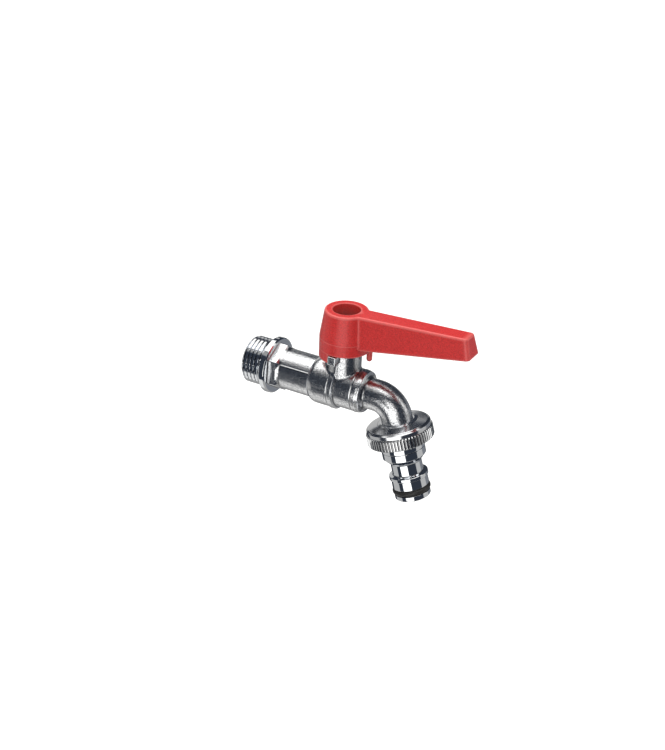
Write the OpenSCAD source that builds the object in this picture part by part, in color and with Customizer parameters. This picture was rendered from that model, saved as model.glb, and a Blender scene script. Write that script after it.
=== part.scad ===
// Quarter-turn ball valve garden tap with a hose union.
// Origin: centre of the open inlet end. +X runs from the inlet towards the spout, +Z is up.

/* [Inlet tail] */
// Outside diameter of the inlet pipe thread, G 1/2
inlet_thread_d = 20.955; // [20.5:0.005:21.5]
// Pitch of the inlet pipe thread
inlet_pitch = 1.814; // [1.5:0.002:2.0]
// Length from the open end to the seating flange
inlet_len = 10.7; // [10.4:0.1:12]
// Diameter of the seating flange
flange_d = 25.0; // [24:0.1:27]
// Thickness of the seating flange
flange_t = 3.0; // [2:0.1:4]
// Width across the flats of the spanner hexagon
hex_af = 18.6; // [18.4:0.1:20.5]
// Length of the spanner hexagon
hex_len = 5.3; // [4:0.1:7]
// Diameter of the round barrel behind the hexagon
tail_d = 18.0; // [17.6:0.1:18.2]
// Diameter of the inlet waterway
inlet_bore_d = 14.8; // [12:0.1:15]

/* [Valve body] */
// Distance from the inlet end to the seam between tail and body
seam_x = 33.1; // [32:0.1:34]
// Distance from the inlet end to the stem axis
stem_x = 46.0; // [45.5:0.1:46.5]
// Diameter of the body at its inlet end
socket_d = 21.1; // [20.6:0.1:22]
// Diameter of the ball chamber outside
chamber_d = 18.7; // [18.4:0.1:19.4]
// Diameter of the spout tube
spout_d = 13.5; // [13:0.1:14]
// Diameter of the water passage through the valve
port_d = 9.0; // [8:0.1:9.4]
// Distance from the stem axis to the corner of the spout's centre lines
corner_reach = 24.0; // [23:0.1:26]
// Forward tilt of the outlet from straight down
outlet_tilt = 16.75; // [10:0.25:25]
// Bend radius of the spout's centre line
bend_r = 10.0; // [9:0.1:10.4]
// Diameter of the stem tower
tower_d = 14.84; // [14:0.02:15.6]
// Height of the stem tower's top above the flow axis
tower_top = 21.5; // [21:0.1:21.8]

/* [Lever] */
// Height of the lever boss above the flow axis
boss_top = 35.6; // [34:0.1:37]
// Diameter of the boss at its top
boss_top_d = 18.44; // [17:0.02:20]
// Diameter of the skirt around the tower
skirt_d = 22.0; // [21.6:0.1:23]
// Height of the skirt's lower edge
skirt_z = 18.0; // [17.9:0.1:19]
// Diameter of the screw recess in the boss
recess_d = 11.8; // [10:0.1:12.5]
// Reach of the lever's tip from the stem axis
lever_reach = 58.4; // [50:0.1:70]

/* [Outlet] */
// Diameter of the body's outlet flange
rim_d = 27.7; // [27:0.1:28.4]
// Diameter over the knurl of the union nut
nut_d = 28.8; // [28.6:0.1:30]
// Number of teeth in the knurl
knurl_teeth = 64; // [40:2:72]
// Diameter of the locking ridge on the nipple
ridge_d = 16.9; // [16.6:0.1:17.4]
// Diameter of the nipple's neck
neck_d = 13.5; // [13:0.1:14.5]
// Distance from the spout's corner to the end of the nipple
nipple_end = 44.2; // [43.5:0.1:46]
// Diameter of the nipple's waterway
nipple_bore_d = 9.8; // [9:0.1:10.2]

/* [Hidden] */
$fn = 96;
over = 1;                        // how far a cutting shape runs past the face it cuts

// running and assembly gaps
run_gap = 0.05;
stop_gap = 0.12;
seat_gap = 0.05;

// inlet tail
thread_r = inlet_thread_d / 2;
thread_depth = 1.162;
lead_in = 0.9;                   // chamfer at the open end
relief_len = 2.0;                // plain neck and flared root between the thread and the flange
root_flare = 0.8;                // length of the flared root that meets the flange
face_clear = 0.2;                // the flange's flat face starts this far outside the crests
crest_flat = 0.36;
barrel_x = inlet_len + flange_t;
hex_end = barrel_x + hex_len;
hex_turn = -4;                   // the hexagon stops a little short of upright
hex_chamfer = [3, 0.5];          // the cone stands this far outside the flats at each end
spigot_r = 8.5;
spigot_end = seam_x + 5;
seal_x = seam_x + 1.2;
seal_wire = 1.2;
seal_groove_r = 7.35;
taper_x = 24;                    // where the inlet waterway narrows
taper_len = 3;

// ball, seats and chamber
ball_r = 7.75;
chamber_bore_r = 8.1;
socket_bore_r = spigot_r + 0.1;
outlet_wall_x = stem_x + 8;
seat_r = chamber_bore_r - 0.1;
seat_len = 3.5;
port_r = port_d / 2;
slot_w = 3.1;
slot_z = 5.3;

// body outside
shoulder_len = 3.5;
body_draught = 0.15;             // the cast body narrows by this much of its radius up to the bead
bead_x = stem_x - 2.4;
bead_w = 2.4;
bead_rise = 0.25;
bulge_x = stem_x + 8.2;
bulge_len = 5.0;
corner_x = stem_x + corner_reach;
turn = 90 - outlet_tilt;
bend_tangent = bend_r * tan(turn / 2);
spout_r = spout_d / 2;
bend_swell = 0.03;
bend_lap = 0.3;
lug_w = 3.9;
lug_out = 11.5;
lug_z = 13.9;
lug_h = 3.8;

// stem
stem_r = 4.0;
stem_hole_r = stem_r + run_gap;
collar_r = 5.2;
collar_z = 8.7;
collar_t = 1.3;
washer_t = 1.0;
pocket_z = collar_z + collar_t + washer_t + 2 * run_gap;
tang = [3.0, 7.6];                // thickness and length, clear of both seats as it turns
tang_z = slot_z + 0.15;
square_af = 5.6;
square_z = 22.0;
stem_top = 26.3;
stem_oring_wire = 1.5;
stem_groove_r = 2.45;
lower_oring_z = 13.4;
upper_oring_z = 16.6;
screw_r = 2.0;
screw_hole_z = 18.4;

// lever
boss_cone_z = 23.85;
web_z = 22.2;
web_top = 26.5;
tower_gap = 0.58;
tab_z = 14.2;
tab_start = 190;
peg_r = 1.25;
peg_at = 18;                     // angle of the closed stop peg from +X
peg_out = 10.6;
peg_z = 12.9;
peg_top = 21.7;                  // just inside the arm
lever_wall = 2.3;

// outlet stack, measured from the spout's corner along the outlet
rim_top = 11.1;
rim_end = 12.6;
nut_top = 12.66;
knurl_end = 17.75;
nut_end = 19.35;
knurl_depth = 0.4;
knurl_lead = 0.3;                // chamfer on the teeth, less than their depth
knurl_root = 0.5;                // the nut's end cone starts just inside the valleys
thread_end = 15.3;
gasket_t = 1.2;
nipple_flange_t = 1.1;
male_r = 12.9;
nut_bore_r = male_r + 0.12;
nipple_flange_r = 12.3;
nut_hole_r = 9.7;
collar_end = 21.5;
shoulder_end = 24.85;
neck_start = 27.65;
neck_end = 32.65;
ridge_start = 33.25;
ridge_end = 34.8;
nipple_oring_u = 40.55;
nipple_oring_wire = 2.4;
nipple_oring_r = 8.32;
band_r = 7.9;
tip_r = 7.8;

// ---- placing helpers ----

module along_x(x = 0) {
    translate([x, 0, 0]) rotate([0, 90, 0]) children();
}

module along_outlet(u = 0) {
    translate([corner_x, 0, 0]) rotate([0, turn + 90, 0]) translate([0, 0, u]) children();
}

module on_stem(z = 0) {
    translate([stem_x, 0, z]) children();
}

module ring_wire(centre_r, wire) {
    rotate_extrude() translate([centre_r, 0]) circle(d = wire, $fn = 32);
}

module tube_ring(outer_r, inner_r, h) {
    difference() {
        cylinder(r = outer_r, h = h);
        translate([0, 0, -over]) cylinder(r = inner_r, h = h + 2 * over);
    }
}

// ---- valve body ----

// outside of the body along the flow axis: [radius, distance from the inlet end]
function shoulder(n = 5) = [for (i = [0 : n]) let (a = 90 * i / n)
    [tail_d / 2 + 0.1 + (socket_d - tail_d - 0.2) / 2 * sin(a), seam_x + shoulder_len * (1 - cos(a))]];

function bulge(n = 6) = [for (i = [0 : n]) let (a = 90 * i / n)
    [spout_r - 0.15 + (chamber_d / 2 + 0.3 - spout_r) * cos(a), bulge_x + 0.5 + (bulge_len - 0.5) * sin(a)]];

module body_outside() {
    along_x() rotate_extrude() polygon(concat(
        [[0, seam_x]],
        shoulder(),
        [[socket_d / 2 - body_draught, bead_x],
         [socket_d / 2 + bead_rise, bead_x + 0.4],
         [socket_d / 2 + bead_rise, bead_x + bead_w - 0.7],
         [socket_d / 2 - 0.2, bead_x + bead_w - 0.1],
         [chamber_d / 2, bead_x + bead_w + 0.1],
         [chamber_d / 2, bulge_x]],
        bulge(),
        [[0, bulge_x + bulge_len]]));
}

// the bend is a hair fatter than the straights, which lap a little way into it
module spout_path(r) {
    along_x(bulge_x) cylinder(r = r, h = corner_x - bend_tangent - bulge_x + bend_lap);
    translate([corner_x - bend_tangent, 0, -bend_r]) rotate([-90, -90, 0])
        rotate_extrude(angle = turn) translate([bend_r, 0]) circle(r = r + bend_swell);
    along_outlet(bend_tangent - bend_lap) cylinder(r = r, h = rim_top - bend_tangent + bend_lap);
}

module outlet_flange() {
    along_outlet() rotate_extrude() polygon([
        [0, rim_top - 2.2], [spout_r + 0.2, rim_top - 2.2], [8.4, rim_top - 1.85],
        [10.7, rim_top - 1.35], [rim_d / 2 - 0.65, rim_top - 0.5], [rim_d / 2, rim_top],
        [rim_d / 2, rim_end], [male_r - 0.9, rim_end], [male_r - 0.9, rim_end + 0.4],
        [male_r, rim_end + 1.0], [male_r, thread_end - 0.4], [male_r - 0.4, thread_end],
        [0, thread_end]]);
}

module stop_lug() {
    on_stem(lug_z) translate([-lug_w / 2, -lug_out, 0])
        cube([lug_w, lug_out - tower_d / 2 + 2, lug_h]);
}

module valve_body() {
    color("silver") difference() {
        union() {
            body_outside();
            spout_path(spout_r);
            outlet_flange();
            on_stem() cylinder(d = tower_d, h = tower_top);
            stop_lug();
        }
        along_x(seam_x - over) cylinder(r = socket_bore_r, h = spigot_end + 0.1 - seam_x + over);
        along_x(spigot_end) cylinder(r = chamber_bore_r, h = outlet_wall_x - spigot_end);
        along_x(stem_x) cylinder(r = port_r, h = bulge_x - stem_x + 0.5);
        spout_path(port_r);
        along_outlet(rim_top - 0.5) cylinder(r = port_r, h = thread_end - rim_top + 2);
        on_stem() cylinder(r = collar_r + 0.2, h = pocket_z);
        on_stem() cylinder(r = stem_hole_r, h = tower_top + over);
    }
}

// ---- inlet tail ----

// one thread turn as a ring: [radius, distance from the inlet end]
function thread_turn(x) = [
    [thread_r, x], [thread_r, x + crest_flat],
    [thread_r - thread_depth, x + inlet_pitch / 2 + crest_flat / 4],
    [thread_r - thread_depth, x + inlet_pitch / 2 + crest_flat / 2]];

thread_turns = floor((inlet_len - relief_len - lead_in) / inlet_pitch);

module tail_outside() {
    along_x() rotate_extrude() polygon(concat(
        [[0, 0], [thread_r - thread_depth, 0]],
        [for (i = [0 : thread_turns]) each thread_turn(lead_in + i * inlet_pitch)],
        [[thread_r - thread_depth, inlet_len - root_flare], [thread_r + face_clear, inlet_len],
         [flange_d / 2 - 0.4, inlet_len],
         [flange_d / 2, inlet_len + 0.4], [flange_d / 2, barrel_x - 0.3],
         [flange_d / 2 - 0.3, barrel_x], [tail_d / 2, barrel_x], [tail_d / 2, seam_x],
         [spigot_r, seam_x], [spigot_r, seal_x - seal_wire / 2 - 0.2],
         [seal_groove_r, seal_x - seal_wire / 2 - 0.2], [seal_groove_r, seal_x + seal_wire / 2 + 0.2],
         [spigot_r, seal_x + seal_wire / 2 + 0.2], [spigot_r, spigot_end - 0.5],
         [spigot_r - 0.5, spigot_end], [0, spigot_end]]));
}

// hexagon with its corners turned off towards the barrel
module spanner_hex() {
    intersection() {
        along_x(barrel_x) rotate([0, 0, hex_turn])
            cylinder(d = hex_af / cos(30), h = hex_len, $fn = 6);
        along_x(barrel_x)
            cylinder(r1 = hex_af / 2 + hex_chamfer[0], r2 = hex_af / 2 + hex_chamfer[1], h = hex_len);
    }
}

module inlet_tail() {
    color("silver") difference() {
        union() {
            tail_outside();
            spanner_hex();
        }
        along_x(-over) cylinder(d = inlet_bore_d, h = taper_x + over);
        along_x(taper_x) cylinder(d1 = inlet_bore_d, r2 = port_r, h = taper_len);
        along_x(taper_x) cylinder(r = port_r, h = spigot_end - taper_x + over);
    }
}

module tail_seal_ring() {
    color("black") along_x(seal_x) ring_wire(seal_groove_r + seal_wire / 2 + 0.02, seal_wire);
}

// ---- ball and seats ----

module ball() {
    color("gainsboro") difference() {
        on_stem() sphere(r = ball_r);
        along_x(stem_x - ball_r - over) cylinder(r = port_r, h = 2 * (ball_r + over));
        on_stem(slot_z) translate([-slot_w / 2, -ball_r, 0]) cube([slot_w, 2 * ball_r, ball_r]);
    }
}

module seat_at(x) {
    color("white") difference() {
        along_x(x) tube_ring(seat_r, port_r + 0.1, seat_len);
        on_stem() sphere(r = ball_r + seat_gap);
    }
}

module inlet_seat() {
    seat_at(spigot_end + 0.05);
}

module outlet_seat() {
    seat_at(outlet_wall_x - 0.05 - seat_len);
}

// ---- stem ----

module oring_groove(z) {
    on_stem(z - stem_oring_wire / 2 - 0.15)
        tube_ring(stem_r + over, stem_groove_r, stem_oring_wire + 0.3);
}

module stem() {
    color("goldenrod") difference() {
        union() {
            on_stem(tang_z) translate([-tang.x / 2, -tang.y / 2, 0])
                cube([tang.x, tang.y, collar_z - tang_z + 0.2]);
            on_stem(collar_z) cylinder(r = collar_r, h = collar_t);
            on_stem(collar_z) cylinder(r = stem_r, h = square_z - collar_z);
            on_stem(square_z - 0.5) translate([-square_af / 2, -square_af / 2, 0])
                cube([square_af, square_af, stem_top - square_z + 0.5]);
        }
        oring_groove(lower_oring_z);
        oring_groove(upper_oring_z);
        on_stem(screw_hole_z) cylinder(r = screw_r + 0.05, h = stem_top);
    }
}

module thrust_washer() {
    color("white") on_stem(collar_z + collar_t + run_gap)
        tube_ring(collar_r + 0.1, stem_hole_r + 0.05, washer_t);
}

module stem_oring(z) {
    color("black") on_stem(z) ring_wire(stem_r - stem_oring_wire / 2, stem_oring_wire);
}

module lower_stem_oring() {
    stem_oring(lower_oring_z);
}

module upper_stem_oring() {
    stem_oring(upper_oring_z);
}

// ---- lever ----

// arm corners as [x, half width, z], low pair then high pair
arm_corners = [[8.0, 6.3, 20.8], [lever_reach, 5.2, 29.7],
               [6.0, 4.4, 35.25], [lever_reach - 2.2, 3.8, 38.45]];
arm_round = 1.2;

// block with draughted sides and round edges, shrunk inwards by a wall thickness
module arm_block(wall = 0, drop = 0, edge_r = arm_round) {
    hull() for (p = arm_corners, side = [-1, 1]) {
        high = p.z > boss_cone_z && p.y < 5;
        x = p.x - (p.x > skirt_d ? wall + edge_r : 0);
        y = side * (p.y - wall - edge_r);
        if (high) translate([x, y, p.z - wall - edge_r]) sphere(r = edge_r, $fn = 24);
        else translate([x, y, p.z - drop]) cylinder(r = edge_r, h = 0.3, $fn = 24);
    }
}

module boss_outside() {
    rotate_extrude() polygon([
        [0, skirt_z], [skirt_d / 2, skirt_z], [skirt_d / 2, boss_cone_z],
        [boss_top_d / 2, boss_top - 0.3], [boss_top_d / 2 - 0.3, boss_top], [0, boss_top]]);
}

module open_stop_tab() {
    sector = [for (a = [tab_start : 11 : 278]) 2 * skirt_d * [cos(a), sin(a)]];
    intersection() {
        translate([0, 0, tab_z]) cylinder(d = skirt_d - 0.1, h = skirt_z - tab_z + 1);
        translate([0, 0, tab_z]) linear_extrude(skirt_z - tab_z + 1)
            polygon(concat([[0, 0]], sector));
        translate([-skirt_d, -skirt_d, tab_z])
            cube([skirt_d - lug_w / 2 - stop_gap, 2 * skirt_d, skirt_z]);
    }
}

module closed_stop_peg() {
    rotate([0, 0, peg_at]) translate([peg_out, 0, peg_z + peg_r]) {
        cylinder(r = peg_r, h = peg_top - peg_z - peg_r);
        sphere(r = peg_r + 0.02);
    }
}

module lever() {
    color("red") on_stem() difference() {
        union() {
            boss_outside();
            arm_block();
            open_stop_tab();
            closed_stop_peg();
        }
        intersection() {
            arm_block(lever_wall, over, 0.8);
            translate([skirt_d / 2 + 2.5, -skirt_d, 0])
                cube([lever_reach, 2 * skirt_d, boss_top + over]);
        }
        translate([0, 0, tab_z - over]) cylinder(r = tower_d / 2 + tower_gap, h = web_z - tab_z + over);
        translate([-square_af / 2 - 0.04, -square_af / 2 - 0.04, tab_z])
            cube([square_af + 0.08, square_af + 0.08, web_top - tab_z + over]);
        translate([0, 0, web_top]) cylinder(d = recess_d, h = boss_top - web_top + over);
    }
}

module lock_washer() {
    color("silver") on_stem(web_top) difference() {
        tube_ring(4.0, screw_r + 0.25, 0.9);
        rotate([0, 0, 35]) translate([0, -0.35, -over]) cube([6, 0.7, 3]);
    }
}

module handle_screw() {
    head_z = web_top + 0.9;
    color("silver") difference() {
        union() {
            on_stem(screw_hole_z + 0.6) cylinder(r = screw_r, h = head_z - screw_hole_z);
            on_stem(head_z) cylinder(r = 3.9, h = 1.7);
            on_stem(head_z + 1.7) cylinder(r1 = 3.9, r2 = 3.2, h = 0.6);
        }
        for (a = [0, 90]) on_stem(head_z + 0.9) rotate([0, 0, a]) translate([-2.2, -0.45, 0])
            cube([4.4, 0.9, 2]);
    }
}

// ---- outlet ----

module outlet_gasket() {
    color("black") along_outlet(thread_end) tube_ring(nipple_flange_r - 0.1, port_r + 1.5, gasket_t);
}

module knurl_ring() {
    teeth = [for (i = [0 : 2 * knurl_teeth - 1])
        let (r = nut_d / 2 - (i % 2) * knurl_depth, a = 180 * i / knurl_teeth)
        [r * cos(a), r * sin(a)]];
    linear_extrude(knurl_end - nut_top) polygon(teeth);
}

module union_nut() {
    web_u = thread_end + gasket_t + nipple_flange_t + 0.1;
    lead_len = knurl_end - nut_top + 0.01;
    color("silver") along_outlet() difference() {
        union() {
            translate([0, 0, nut_top]) intersection() {
                knurl_ring();
                cylinder(r1 = nut_d / 2 - knurl_lead, r2 = nut_d / 2 - knurl_lead + lead_len, h = lead_len);
            }
            translate([0, 0, knurl_end])
                cylinder(r1 = nut_d / 2 - knurl_root, r2 = nut_hole_r + 0.3, h = nut_end - knurl_end);
        }
        translate([0, 0, nut_top - over]) cylinder(r = nut_bore_r, h = thread_end + 0.6 - nut_top + over);
        translate([0, 0, nut_top]) cylinder(r = nipple_flange_r + 0.15, h = web_u - nut_top);
        translate([0, 0, nut_top]) cylinder(r = nut_hole_r, h = nut_end);
    }
}

module hose_nipple() {
    top_u = thread_end + gasket_t;
    groove = nipple_oring_wire / 2 + 0.15;
    groove_r = nipple_oring_r - nipple_oring_wire;
    color("silver") along_outlet() rotate_extrude() polygon([
        [nipple_bore_d / 2, top_u], [nipple_flange_r, top_u],
        [nipple_flange_r, top_u + nipple_flange_t], [nut_hole_r - 0.1, top_u + nipple_flange_t],
        [nut_hole_r - 0.1, collar_end], [nut_hole_r - 0.6, collar_end + 0.1],
        [nut_hole_r - 0.6, collar_end + 0.2], [nut_hole_r - 0.3, collar_end + 0.35],
        [nut_hole_r - 0.3, shoulder_end], [neck_d / 2, neck_start], [neck_d / 2, neck_end],
        [ridge_d / 2 - 0.1, ridge_start], [ridge_d / 2, ridge_start + 0.15],
        [ridge_d / 2, ridge_end], [band_r, ridge_end + 0.25],
        [band_r, nipple_oring_u - groove], [groove_r, nipple_oring_u - groove],
        [groove_r, nipple_oring_u + groove], [tip_r, nipple_oring_u + groove],
        [tip_r, nipple_end - 0.4], [tip_r - 0.35, nipple_end], [nipple_bore_d / 2, nipple_end]]);
}

module nipple_oring() {
    color("black") along_outlet(nipple_oring_u)
        ring_wire(nipple_oring_r - nipple_oring_wire / 2 + 0.01, nipple_oring_wire);
}

valve_body();
inlet_tail();
tail_seal_ring();
inlet_seat();
ball();
outlet_seat();
stem();
thrust_washer();
lower_stem_oring();
upper_stem_oring();
lever();
lock_washer();
handle_screw();
outlet_gasket();
union_nut();
hose_nipple();
nipple_oring();
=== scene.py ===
import math
import bmesh
import bpy
import numpy as np
from mathutils import Matrix, Vector


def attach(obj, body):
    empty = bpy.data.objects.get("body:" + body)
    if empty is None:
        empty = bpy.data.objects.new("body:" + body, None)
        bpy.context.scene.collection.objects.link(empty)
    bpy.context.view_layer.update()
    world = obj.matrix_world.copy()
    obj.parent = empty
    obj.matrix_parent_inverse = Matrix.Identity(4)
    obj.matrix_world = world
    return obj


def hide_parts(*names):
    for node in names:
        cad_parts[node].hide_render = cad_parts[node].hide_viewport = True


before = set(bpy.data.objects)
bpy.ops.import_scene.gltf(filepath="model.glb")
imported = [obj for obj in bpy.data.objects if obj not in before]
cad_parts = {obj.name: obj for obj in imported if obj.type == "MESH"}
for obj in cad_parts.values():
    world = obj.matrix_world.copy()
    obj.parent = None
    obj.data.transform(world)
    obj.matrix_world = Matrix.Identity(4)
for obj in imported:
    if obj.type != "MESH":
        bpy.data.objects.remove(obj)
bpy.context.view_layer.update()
print("frame loaded:", len(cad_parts), "nodes")

# all shapes below are worked out in millimetres, in the frame's own axes, and scaled once in makePiece
mm = 0.001
tap = {
    "stemX": 46.0,        # stem axis, from the inlet end
    "cornerX": 70.0,      # where the spout's two centre lines meet
    "outletTilt": 16.75,  # degrees forward from straight down
    "bendR": 10.0,
}
tilt = math.radians(tap["outletTilt"])
outletDir = np.array([math.sin(tilt), 0, -math.cos(tilt)])
outletSide = np.array([math.cos(tilt), 0, math.sin(tilt)])
sideways = np.array([0, 1.0, 0])


# mesh tools

mostOfSide = 0.48  # an arc takes at most this share of a side
weld = 1e-8        # metres


def softCorners(corners, closed=False, steps=6):
    # each corner (along, radius, rounding) becomes an arc that touches both of its sides
    pts = np.array([c[:2] for c in corners], float)
    rounding = [c[2] if len(c) > 2 else 0 for c in corners]
    out = []
    n = len(pts)
    for i in range(n):
        if rounding[i] == 0 or (not closed and i in (0, n - 1)):
            out.append(pts[i][None])
            continue
        back, ahead = pts[i - 1] - pts[i], pts[(i + 1) % n] - pts[i]
        lb, la = np.linalg.norm(back), np.linalg.norm(ahead)
        back, ahead = back / lb, ahead / la
        half = math.acos(max(-1, min(1, float(back @ ahead)))) / 2
        reach = min(rounding[i] / math.tan(half), mostOfSide * lb, mostOfSide * la)
        radius = reach * math.tan(half)
        bisector = (back + ahead) / np.linalg.norm(back + ahead)
        centre = pts[i] + bisector * radius / math.sin(half)
        a = pts[i] + back * reach - centre
        b = pts[i] + ahead * reach - centre
        sweep = math.atan2(a[0] * b[1] - a[1] * b[0], a @ b)
        t = np.linspace(0, sweep, steps)[:, None]
        across = np.array([-a[1], a[0]])
        out.append(centre + a * np.cos(t) + across * np.sin(t))
    return holdEdges(np.vstack(out), closed)


def holdEdges(line, closed=False, near=0.2):
    # puts points one and two short steps in from both ends of every long stretch, so that an edge's
    # marks fade within the first step; a stretch is long from five steps on
    ahead = np.roll(line, -1, axis=0)
    step = ahead - line
    size = np.linalg.norm(step, axis=1, keepdims=True)
    unit = step / np.maximum(size, 1e-9) * near
    five = np.stack([line, line + unit, line + 2 * unit, ahead - 2 * unit, ahead - unit], 1)
    keep = np.repeat(size > 5 * near, 5, axis=1)
    keep[:, 0] = True
    if not closed:
        keep[-1, 1:] = False
    return five.reshape(-1, line.shape[1])[keep.reshape(-1)]


def tube(rows, wrapRows=False):
    # quads over a grid of closed rings; open ends get a fan to their middle point
    n, cols = rows.shape[:2]
    points = rows.reshape(-1, 3)
    i, j = np.meshgrid(np.arange(n if wrapRows else n - 1), np.arange(cols), indexing="ij")
    nextRow, nextCol = (i + 1) % n, (j + 1) % cols
    quads = np.stack([i * cols + j, i * cols + nextCol, nextRow * cols + nextCol, nextRow * cols + j], -1)
    quads = quads.reshape(-1, 4)
    fans = np.zeros((0, 3), int)
    if not wrapRows:
        j = np.arange(cols)
        k = (j + 1) % cols
        last = (n - 1) * cols
        points = np.vstack([points, rows[0].mean(0), rows[-1].mean(0)])
        fans = np.vstack([
            np.stack([k, j, np.full(cols, n * cols)], -1),
            np.stack([last + j, last + k, np.full(cols, n * cols + 1)], -1)])
    corners = points[np.vstack([quads[:, [0, 1, 2]], quads[:, [0, 2, 3]], fans])]
    # six times the volume inside; below zero the faces point inwards
    volume = np.einsum("ij,ij->i", corners[:, 0], np.cross(corners[:, 1], corners[:, 2])).sum()
    if volume < 0:
        quads, fans = quads[:, ::-1], fans[:, ::-1]
    return points, quads, fans


marks = {"from": 0.3, "full": 0.9}  # one over the edge's radius in mm, where a mark starts and is full


def markEdges(mesh):
    # edge: the change of normal along each of a vertex's edges over that edge's length, at its largest,
    # which is one over the radius there; hollow is the same for creases and grooves
    count, edges = len(mesh.vertices), len(mesh.edges)
    place, facing, ends = np.empty(count * 3), np.empty(count * 3), np.empty(edges * 2, int)
    mesh.vertices.foreach_get("co", place)
    mesh.vertex_normals.foreach_get("vector", facing)
    mesh.edges.foreach_get("vertices", ends)
    place, facing, ends = place.reshape(-1, 3) / mm, facing.reshape(-1, 3), ends.reshape(-1, 2)
    gap, swing = place[ends[:, 1]] - place[ends[:, 0]], facing[ends[:, 1]] - facing[ends[:, 0]]
    bend = np.einsum("ij,ij->i", gap, swing) / np.maximum(np.einsum("ij,ij->i", gap, gap), 1e-4)
    # the edge mark later takes a pale tint, a painted highlight that on the lever is partly rubbed paint,
    # and the hollow mark a dark tint, a painted shade
    for name, towards in (("edge", 1), ("hollow", -1)):
        most = np.zeros(count)
        np.maximum.at(most, ends[:, 0], towards * bend)
        np.maximum.at(most, ends[:, 1], towards * bend)
        strong = np.clip((most - marks["from"]) / (marks["full"] - marks["from"]), 0, 1)
        mesh.attributes.new(name, "FLOAT", "POINT").data.foreach_set("value", strong)


def makePiece(name, shells, body, material, replaced=(), sharp=30):
    # one object from one or more closed shells; faces meeting at more than sharp degrees keep their edge
    points, faces, base = [], [], 0
    for pts, quads, fans in shells:
        points.append(pts)
        faces += (quads + base).tolist() + (fans + base).tolist()
        base += len(pts)
    mesh = bpy.data.meshes.new(name)
    mesh.from_pydata(np.vstack(points) * mm, [], faces)
    work = bmesh.new()
    work.from_mesh(mesh)
    bmesh.ops.remove_doubles(work, verts=work.verts, dist=weld)
    work.to_mesh(mesh)
    work.free()
    markEdges(mesh)
    mesh.polygons.foreach_set("use_smooth", np.ones(len(mesh.polygons), bool))
    mesh.set_sharp_from_angle(angle=math.radians(sharp))
    mesh.materials.append(material)
    obj = bpy.data.objects.new(name, mesh)
    bpy.context.scene.collection.objects.link(obj)
    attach(obj, body)
    if replaced:
        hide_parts(*replaced)
    return obj


def angles(cols, start=0.0):
    # equal steps once round, from a start in degrees
    return math.radians(start) + np.arange(cols) * 2 * math.pi / cols


def roundX(along, radius, turn):
    # rings about the flow axis: y is radius times cosine, z is radius times sine
    return np.stack(np.broadcast_arrays(along, radius * np.cos(turn), radius * np.sin(turn)), -1)


def roundZ(height, radius, turn, x=0.0, y=0.0):
    # rings about an upright axis: x is radius times cosine, y is radius times sine
    return np.stack(np.broadcast_arrays(x + radius * np.cos(turn), y + radius * np.sin(turn), height), -1)


def roundOutlet(u, radius, turn):
    # rings about the outlet axis: the corner, plus u along the outlet, plus radius times cosine across
    # it in the plane of the tap and radius times sine sideways
    u, c, s = np.broadcast_arrays(u, radius * np.cos(turn), radius * np.sin(turn))
    return (np.array([tap["cornerX"], 0, 0]) + u[..., None] * outletDir
            + c[..., None] * outletSide + s[..., None] * sideways)


def turned(corners, place, cols, steps=6, closed=True):
    # a closed outline of (along, radius) turned about an axis
    line = softCorners(corners, closed, steps)
    return tube(place(line[:, :1], line[:, 1:2], angles(cols)[None]), wrapRows=closed)


# materials

def newMaterial(name):
    mat = bpy.data.materials.new(name)
    mat.use_nodes = True
    nodes, links = mat.node_tree.nodes, mat.node_tree.links
    return mat, nodes, links, nodes["Principled BSDF"]


vectorSocket, floatSocket, colorSocket = "NodeSocketVector", "NodeSocketFloat", "NodeSocketColor"


def newGroup(name, inputs, outputs):
    # an empty node group with its named sockets
    group = bpy.data.node_groups.new(name, "ShaderNodeTree")
    for way, sockets in (("INPUT", inputs), ("OUTPUT", outputs)):
        for label, kind in sockets.items():
            group.interface.new_socket(name=label, in_out=way, socket_type=kind)
    nodes = group.nodes
    return group, nodes, group.links, nodes.new("NodeGroupInput"), nodes.new("NodeGroupOutput")


def fineGrainGroup():
    # height of a fine blasted or pebbled skin, and a slow mottle for colour and roughness
    group, nodes, links, inside, outside = newGroup(
        "fineGrain", {"Vector": vectorSocket, "Grain": floatSocket, "Mottle": floatSocket},
        {"Height": floatSocket, "Tone": floatSocket})
    small, large = nodes.new("ShaderNodeTexNoise"), nodes.new("ShaderNodeTexNoise")
    small.inputs["Detail"].default_value = 2.0
    small.inputs["Roughness"].default_value = 0.6
    large.inputs["Detail"].default_value = 3.0
    for noise, size, result in ((small, "Grain", "Height"), (large, "Mottle", "Tone")):
        links.new(inside.outputs["Vector"], noise.inputs["Vector"])
        links.new(inside.outputs[size], noise.inputs["Scale"])
        links.new(noise.outputs["Fac"], outside.inputs[result])
    return group


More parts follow.
